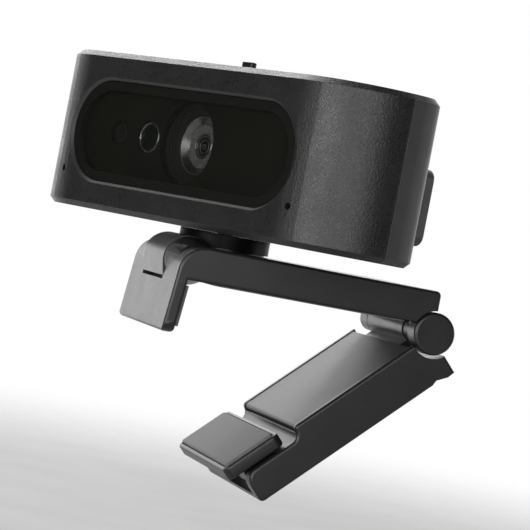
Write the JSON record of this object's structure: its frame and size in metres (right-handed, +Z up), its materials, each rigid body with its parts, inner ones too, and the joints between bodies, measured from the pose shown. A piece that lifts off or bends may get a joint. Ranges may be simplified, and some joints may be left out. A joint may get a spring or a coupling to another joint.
{
  "type": "webcam with monitor clip",
  "caption": "Wide webcam head with a glass window, lens and sliding privacy shutter, on a tilting and turning neck over a folding clip whose hinged leg and foot hold a screen.",
  "frame": {"origin": "on the neck's turning axis, at the underside of the pad under the clip's arm: the face that rests on a screen's top edge", "axes": "+X to the right along the clip's hinges, +Y to the rear (-Y is the front, the side the screen shows its picture to), +Z up along the neck's turning axis"},
  "size_m": [0.0929, 0.0787, 0.085],
  "materials": {
    "head_front": "fine textured charcoal moulding",
    "head_rear": "smooth satin charcoal moulding",
    "window": "dark tinted gloss",
    "lens_glass": "coated, polished",
    "black_plastic": "fine satin",
    "ring_metal": "turned, satin anodised",
    "gasket": "matte",
    "sensor": "polished cover over the chip",
    "board": "lacquered circuit board",
    "steel": "plated",
    "led": "clear moulded cap",
    "clip_plastic": "satin moulding",
    "face_plate": "fine matte",
    "pad_rubber": "soft matte"
  },
  "bodies": {
    "clip": {"clip_arm": "clip_plastic", "arm_base_plate": "clip_plastic", "base_screw_left": "steel", "base_screw_right": "steel", "arm_pad": "pad_rubber", "lip_pad": "pad_rubber", "tilt_pin": "steel", "hinge_pin": "steel", "hinge_cap": "clip_plastic", "friction_bush": "black_plastic"},
    "neck": {"tilt_link": "clip_plastic", "pan_stud": "steel", "pan_washer": "steel", "pan_nut": "steel"},
    "head": {"front_casing": "head_front", "rear_cover": "head_rear", "window_glass": "window", "window_gasket": "gasket", "optics_mask": "black_plastic", "lens_funnel": "black_plastic", "lens_ring": "ring_metal", "lens_glass": "lens_glass", "lens_barrel": "black_plastic", "lens_holder": "black_plastic", "image_sensor": "sensor", "sensor_board": "board", "front_board": "board", "main_board": "board", "board_connector": "black_plastic", "shield_can": "steel", "usb_socket": "steel", "ir_camera": "black_plastic", "ir_camera_lens": "lens_glass", "ir_led": "led", "status_led": "led", "mic_left": "black_plastic", "mic_right": "black_plastic", "head_screw_1": "steel", "head_screw_2": "steel", "head_screw_3": "steel", "head_screw_4": "steel"},
    "shutter": {"shutter_blade": "black_plastic", "shutter_slider": "black_plastic"},
    "leg": {"leg_shell": "clip_plastic", "leg_face_plate": "face_plate", "foot_pin": "steel"},
    "foot": {"foot_frame": "clip_plastic", "foot_pad": "pad_rubber"}
  },
  "joints": [
    {"name": "tilt", "type": "hinge", "parent": "clip", "child": "neck", "pos_m": [0, -0.0114, 0.00385], "axis": [1, 0, 0], "range_deg": [0, 70]},
    {"name": "pan", "type": "hinge", "parent": "neck", "child": "head", "pos_m": [0, 0, 0.01], "axis": [0, 0, 1], "range_deg": [-116.2, 63.8]},
    {"name": "shutter", "type": "slide", "parent": "head", "child": "shutter", "axis": [-0.8973, -0.4415, 0], "range_m": [0, 0.0158]},
    {"name": "leg_hinge", "type": "hinge", "parent": "clip", "child": "leg", "pos_m": [0, 0.0412, -0.00141], "axis": [1, 0, 0], "range_deg": [-38, 135]},
    {"name": "foot_hinge", "type": "hinge", "parent": "leg", "child": "foot", "pos_m": [0, 0.01161, -0.03562], "axis": [1, 0, 0], "range_deg": [0, 75]}
  ]
}
